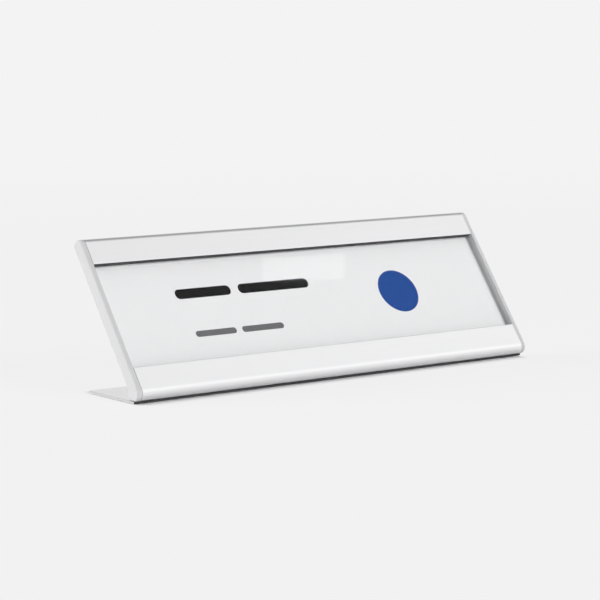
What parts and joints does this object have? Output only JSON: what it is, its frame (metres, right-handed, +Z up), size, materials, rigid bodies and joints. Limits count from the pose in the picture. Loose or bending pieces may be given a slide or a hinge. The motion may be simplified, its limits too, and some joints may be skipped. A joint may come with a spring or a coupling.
{
  "type": "desk nameplate holder",
  "caption": "Leaning aluminium channel on a flat foot plate, holding a slide-in printed card behind a clear lens, with plastic end caps.",
  "frame": {"origin": "on the desk, under the middle of the bounding box", "axes": "+X along the length to the viewer's right, +Y to the back, +Z up; the front faces -Y"},
  "size_m": [0.2084, 0.046, 0.0621],
  "materials": {
    "satin_aluminium": "satin anodised, fine grain along the length",
    "foot_aluminium": "satin anodised sheet",
    "cap_plastic": "light grey moulded plastic, fine texture",
    "clear_acrylic": "clear, polished",
    "white_card": "matt white card with a plain printed design",
    "zinc_steel": "zinc plated",
    "soft_pad": "matt"
  },
  "bodies": {
    "holder": {"frame_channel": "satin_aluminium", "foot_plate": "foot_aluminium", "foot_screw_left": "zinc_steel", "foot_screw_middle": "zinc_steel", "foot_screw_right": "zinc_steel", "foot_pad_front_left": "soft_pad", "foot_pad_front_right": "soft_pad", "foot_pad_back_left": "soft_pad", "foot_pad_back_right": "soft_pad"},
    "left_cap": {"end_cap_left": "cap_plastic"},
    "right_cap": {"end_cap_right": "cap_plastic"},
    "lens": {"clear_lens": "clear_acrylic"},
    "card": {"insert_card": "white_card"}
  },
  "joints": [
    {"name": "lens_slide", "type": "slide", "parent": "holder", "child": "lens", "axis": [1, 0, 0], "range_m": [0, 0.205]},
    {"name": "card_slide", "type": "slide", "parent": "holder", "child": "card", "axis": [1, 0, 0], "range_m": [0, 0.205]},
    {"name": "right_cap_pull", "type": "slide", "parent": "holder", "child": "right_cap", "axis": [1, 0, 0], "range_m": [0, 0.2255]},
    {"name": "left_cap_pull", "type": "slide", "parent": "holder", "child": "left_cap", "axis": [-1, 0, 0], "range_m": [0, 0.02]}
  ],
  "couplings": [
    {"joint": "card_slide", "follows": "lens_slide", "ratio": 1},
    {"joint": "right_cap_pull", "follows": "lens_slide", "ratio": 1.1}
  ]
}
